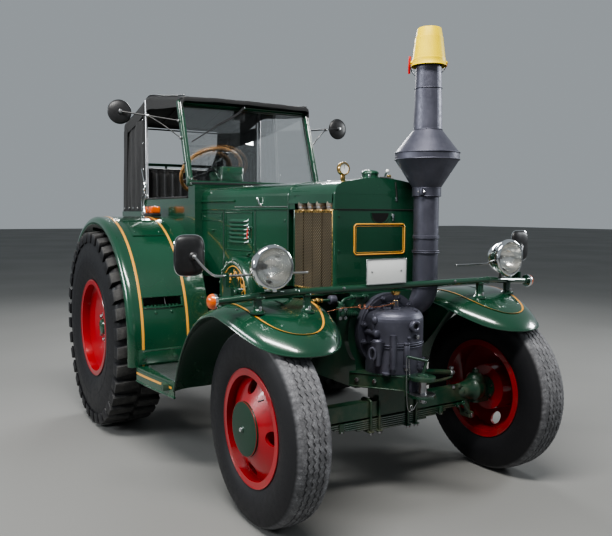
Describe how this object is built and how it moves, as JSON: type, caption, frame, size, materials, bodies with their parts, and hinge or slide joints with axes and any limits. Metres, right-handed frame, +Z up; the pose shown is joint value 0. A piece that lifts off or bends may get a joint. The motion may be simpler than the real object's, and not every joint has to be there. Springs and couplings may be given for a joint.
{
  "type": "vintage hot-bulb tractor",
  "caption": "Vintage single-cylinder hot-bulb tractor on rubber tyres, with rounded wings, side radiators, tall exhaust stack, windscreen and black soft top over the driver's bench.",
  "frame": {"origin": "on the ground, below the middle of the tractor", "axes": "+X forward, +Y to the driver's left, +Z up"},
  "size_m": [3.676, 2.294, 2.4346],
  "materials": {
    "green_paint": "dark green gloss enamel",
    "graphite_casting": "graphite coated iron",
    "yellow_plastic": "moulded bucket plastic",
    "radiator_core": "dull bronze fins",
    "clear_glass": "clear safety glass",
    "black_plastic": "black moulded plastic",
    "black_cloth": "coated black top cloth",
    "bright_chrome": "polished plating",
    "black_leather": "pleated black leather cloth",
    "bright_steel": "bare steel",
    "amber_lens": "amber lens",
    "red_lens": "red lens",
    "white_enamel": "white enamel",
    "tan_wood": "varnished rim",
    "red_paint": "red gloss enamel",
    "tyre_rubber": "worn rubber"
  },
  "bodies": {
    "root": {"engine_block": "green_paint", "gearbox": "green_paint", "rear_axle": "green_paint", "cylinder_head": "graphite_casting", "exhaust_stack": "graphite_casting", "rain_pail": "yellow_plastic", "front_panel": "green_paint", "fuel_tank": "green_paint", "hood": "green_paint", "radiators": "radiator_core", "flywheel_cases": "green_paint", "tank_fittings": "green_paint", "cab_tub": "green_paint", "windscreen_frame": "green_paint", "windscreen_glass": "clear_glass", "top_mirrors": "black_plastic", "soft_top": "black_cloth", "top_bows": "bright_chrome", "seat_box": "green_paint", "seat_cushion": "black_leather", "seat_back": "black_leather", "steering_column": "green_paint", "hand_levers": "bright_steel", "lamp_bar": "green_paint", "headlamps": "bright_chrome", "amber_lamps": "amber_lens", "tail_lamps": "red_lens", "bar_mirrors": "black_plastic", "number_plate": "white_enamel", "front_wing_right": "green_paint", "front_wing_left": "green_paint", "rear_mudguard_right": "green_paint", "rear_mudguard_left": "green_paint", "running_boards": "green_paint", "axle_bracket": "green_paint", "front_axle": "green_paint", "leaf_spring": "green_paint", "front_coupling": "green_paint", "drawbar": "green_paint"},
    "steering_wheel": {"steering_wheel": "tan_wood"},
    "knuckle_right": {"knuckle_right": "green_paint"},
    "knuckle_left": {"knuckle_left": "green_paint"},
    "track_rod": {"track_rod": "green_paint"},
    "front_wheel_right": {"front_wheel_right": "red_paint", "front_tyre_right": "tyre_rubber"},
    "front_wheel_left": {"front_wheel_left": "red_paint", "front_tyre_left": "tyre_rubber"},
    "rear_wheel_right": {"rear_wheel_right": "red_paint", "rear_tyre_right": "tyre_rubber"},
    "rear_wheel_left": {"rear_wheel_left": "red_paint", "rear_tyre_left": "tyre_rubber"}
  },
  "joints": [
    {"name": "steer_right", "type": "hinge", "parent": "root", "child": "knuckle_right", "pos_m": [1.375, -0.62, 0.46], "axis": [0, 0, 1], "range_deg": [-30, 30]},
    {"name": "steer_left", "type": "hinge", "parent": "root", "child": "knuckle_left", "pos_m": [1.375, 0.62, 0.46], "axis": [0, 0, 1], "range_deg": [-30, 30]},
    {"name": "track_rod_slide", "type": "slide", "parent": "root", "child": "track_rod", "axis": [0, 1, 0], "range_m": [-0.09, 0.09]},
    {"name": "steering_wheel_turn", "type": "hinge", "parent": "root", "child": "steering_wheel", "pos_m": [-0.5, -0.19, 1.76], "axis": [-0.6971, 0, 0.717], "range_deg": [-360, 360]},
    {"name": "front_wheel_right_spin", "type": "hinge", "parent": "knuckle_right", "child": "front_wheel_right", "pos_m": [1.375, -0.742, 0.463], "axis": [0, 1, 0], "continuous": true},
    {"name": "rear_wheel_right_spin", "type": "hinge", "parent": "root", "child": "rear_wheel_right", "pos_m": [-0.6, -0.898, 0.67], "axis": [0, 1, 0], "continuous": true},
    {"name": "front_wheel_left_spin", "type": "hinge", "parent": "knuckle_left", "child": "front_wheel_left", "pos_m": [1.375, 0.742, 0.463], "axis": [0, 1, 0], "continuous": true},
    {"name": "rear_wheel_left_spin", "type": "hinge", "parent": "root", "child": "rear_wheel_left", "pos_m": [-0.6, 0.898, 0.67], "axis": [0, 1, 0], "continuous": true}
  ],
  "couplings": [
    {"joint": "steer_left", "follows": "steer_right", "ratio": 1},
    {"joint": "track_rod_slide", "follows": "steer_right", "m_per_rad": -0.17},
    {"joint": "steering_wheel_turn", "follows": "steer_right", "ratio": 12}
  ]
}
